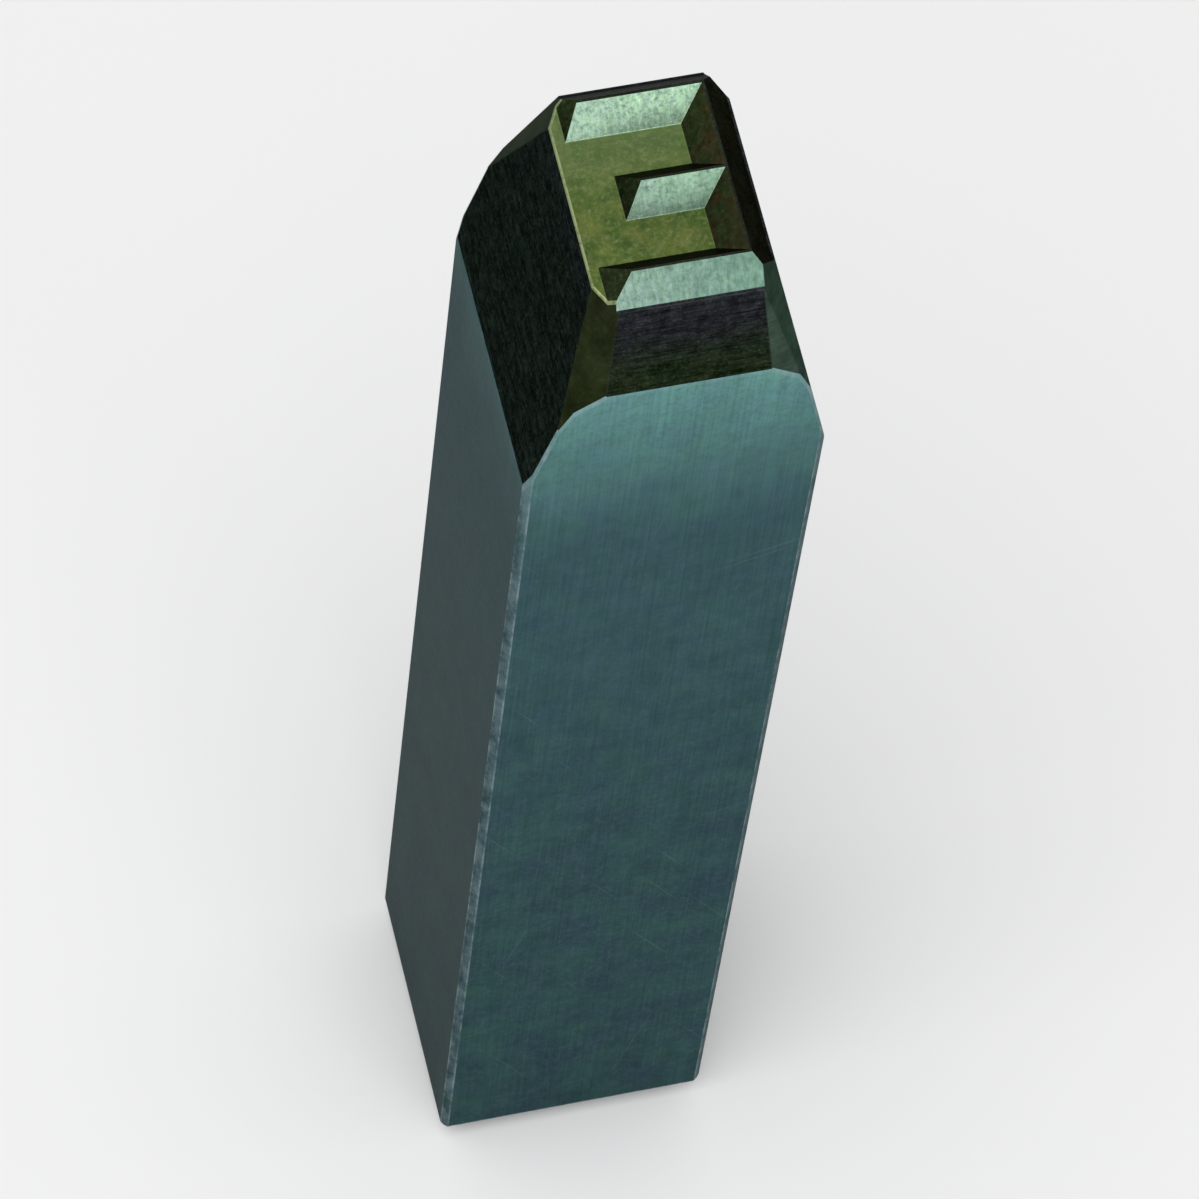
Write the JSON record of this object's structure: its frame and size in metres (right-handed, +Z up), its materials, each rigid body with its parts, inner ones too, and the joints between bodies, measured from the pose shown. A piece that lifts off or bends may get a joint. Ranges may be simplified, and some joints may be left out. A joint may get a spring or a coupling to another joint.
{
  "type": "steel letter punch",
  "caption": "Square steel shank with a faceted head and a raised mirrored letter, struck with a hammer to stamp the letter into metal.",
  "frame": {"origin": "centre of the flat struck end, which the punch stands on", "axes": "+Z up the shank to the letter, +Y to the top of the letter, +X to the letter's stem"},
  "size_m": [0.0126, 0.0126, 0.076],
  "materials": {
    "blackened_steel": "black oxide over ground steel, satin, with bare edges"
  },
  "bodies": {
    "root": {"letter_punch": "blackened_steel"}
  },
  "joints": []
}
